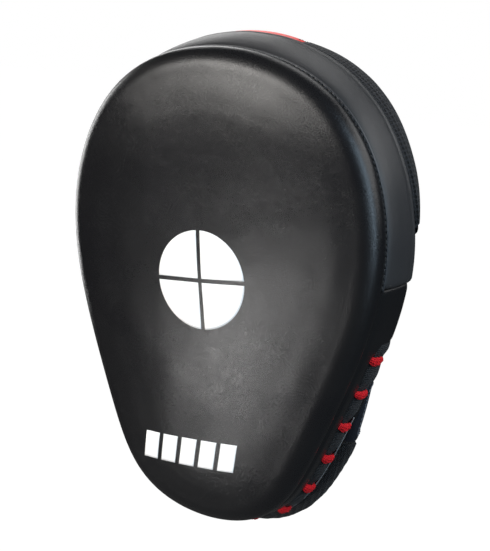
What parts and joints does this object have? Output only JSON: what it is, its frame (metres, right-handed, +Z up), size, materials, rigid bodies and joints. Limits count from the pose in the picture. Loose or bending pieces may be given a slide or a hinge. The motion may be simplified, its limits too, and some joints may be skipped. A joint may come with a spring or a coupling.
{
  "type": "focus mitt",
  "caption": "Pear-shaped padded target mitt with a mesh finger hood, palm ball and hook-and-loop wrist strap, held on a trainer's hand to catch punches.",
  "frame": {"origin": "palm centre on the outer face of the rear panel, where the wearer's palm rests", "axes": "+Z up the mitt towards the finger tips, +Y out of the rear panel towards the back of the hand, the strike face looks along -Y"},
  "size_m": [0.19, 0.0883, 0.272],
  "materials": {
    "face_leather": "semi-gloss black PU leather with a fine grain",
    "gusset_leather": "satin charcoal PU leather, smooth",
    "soft_foam": "open-cell foam",
    "eva_foam": "dense closed-cell foam sheet",
    "shock_sheet": "flexible plastic sheet",
    "lining": "smooth woven lining",
    "piping": "satin folded leather piping",
    "print_white": "matt white transfer print",
    "ribbed_webbing": "black ribbed elastic webbing",
    "red_cord": "red braided cord",
    "air_mesh": "black spacer air mesh",
    "red_panel": "bright red coated fabric",
    "cushion_weave": "black herringbone woven mesh",
    "strap_leather": "black PU leather strap",
    "hook_tape": "black hook-and-loop tape",
    "red_tab": "red leather pull tab"
  },
  "bodies": {
    "pad": {"strike_face_cover": "face_leather", "side_gusset": "gusset_leather", "face_foam": "soft_foam", "core_foam": "eva_foam", "shock_board": "shock_sheet", "rear_foam": "soft_foam", "rear_panel": "lining", "front_seam_piping": "piping", "rear_binding": "gusset_leather", "target_print": "print_white", "stripe_print": "print_white", "lace_strip": "ribbed_webbing", "red_lacing": "red_cord", "hood_mesh_left": "air_mesh", "hood_mesh_right": "air_mesh", "hood_centre_panel": "red_panel", "hood_lining": "lining", "hood_mouth_binding": "ribbed_webbing", "palm_ball": "gusset_leather", "wrist_cushion_cover": "cushion_weave", "wrist_cushion_foam": "soft_foam", "strap_anchor": "strap_leather", "closure_flap": "strap_leather", "closure_loop_patch": "hook_tape"},
    "strap": {"wrist_strap": "strap_leather", "strap_hook_patch": "hook_tape", "strap_pull_tab": "red_tab"}
  },
  "joints": [
    {"name": "strap_open", "type": "hinge", "parent": "pad", "child": "strap", "pos_m": [0.07204, 0.00801, -0.0525], "axis": [-0.1733, 0, -0.9849], "range_deg": [0, 100]}
  ]
}
